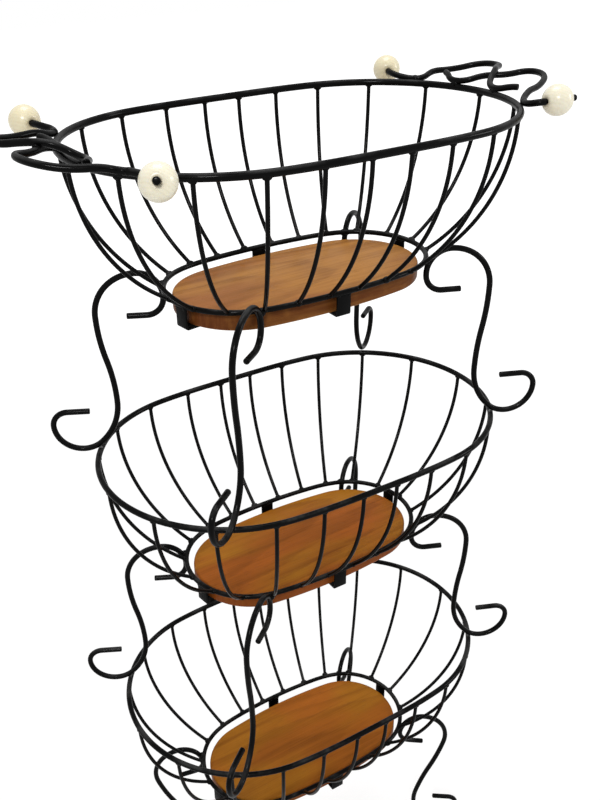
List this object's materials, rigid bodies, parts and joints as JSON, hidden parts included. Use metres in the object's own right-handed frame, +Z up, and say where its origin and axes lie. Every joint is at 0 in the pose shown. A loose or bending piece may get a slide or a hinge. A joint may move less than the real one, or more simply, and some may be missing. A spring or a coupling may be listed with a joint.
{
  "type": "tiered wire fruit basket stand",
  "caption": "Free-standing stack of oval wire fruit baskets with wood floors, scroll legs that rest on the rim below, scroll feet, and scroll handles ending in wood beads.",
  "frame": {"origin": "on the floor under the middle of the stack", "axes": "+Z up, +X along the long side of the baskets to the right, +Y from the front to the back"},
  "size_m": [0.435, 0.2366, 0.7944],
  "materials": {
    "wire": "gloss",
    "clip": "satin",
    "screw": "satin",
    "board": "satin",
    "bead": "satin"
  },
  "bodies": {
    "bottom_basket": {"bottom_rim": "wire", "bottom_ring": "wire", "bottom_ribs": "wire", "bottom_board": "board", "bottom_clips": "clip", "bottom_screws": "screw", "bottom_leg_left_front": "wire", "bottom_leg_left_rear": "wire", "bottom_leg_right_front": "wire", "bottom_leg_right_rear": "wire"},
    "middle_basket": {"middle_rim": "wire", "middle_ring": "wire", "middle_ribs": "wire", "middle_board": "board", "middle_clips": "clip", "middle_screws": "screw", "middle_leg_left_front": "wire", "middle_leg_left_rear": "wire", "middle_leg_right_front": "wire", "middle_leg_right_rear": "wire"},
    "top_basket": {"top_rim": "wire", "top_ring": "wire", "top_ribs": "wire", "top_board": "board", "top_clips": "clip", "top_screws": "screw", "top_leg_left_front": "wire", "top_leg_left_rear": "wire", "top_leg_right_front": "wire", "top_leg_right_rear": "wire", "handle_left_front": "wire", "handle_left_rear": "wire", "handle_right_front": "wire", "handle_right_rear": "wire"},
    "bead_left_front": {"bead_left_front": "bead"},
    "bead_left_rear": {"bead_left_rear": "bead"},
    "bead_right_front": {"bead_right_front": "bead"},
    "bead_right_rear": {"bead_right_rear": "bead"}
  },
  "joints": [
    {"name": "middle_lift", "type": "slide", "parent": "bottom_basket", "child": "middle_basket", "axis": [0, 0, 1], "range_m": [0, 0.16]},
    {"name": "top_lift", "type": "slide", "parent": "middle_basket", "child": "top_basket", "axis": [0, 0, 1], "range_m": [0, 0.16]},
    {"name": "bead_spin_left_front", "type": "hinge", "parent": "top_basket", "child": "bead_left_front", "pos_m": [-0.15955, -0.10461, 0.78293], "axis": [-0.4465, -0.8397, 0.309], "continuous": true},
    {"name": "bead_spin_left_rear", "type": "hinge", "parent": "top_basket", "child": "bead_left_rear", "pos_m": [-0.16787, 0.09967, 0.78293], "axis": [-0.1736, 0.9848, 0], "continuous": true},
    {"name": "bead_spin_right_front", "type": "hinge", "parent": "top_basket", "child": "bead_right_front", "pos_m": [0.17297, -0.08351, 0.78293], "axis": [0.9945, -0.1045, 0], "continuous": true},
    {"name": "bead_spin_right_rear", "type": "hinge", "parent": "top_basket", "child": "bead_right_rear", "pos_m": [0.15889, 0.10161, 0.78293], "axis": [0.5, 0.866, 0], "continuous": true}
  ]
}
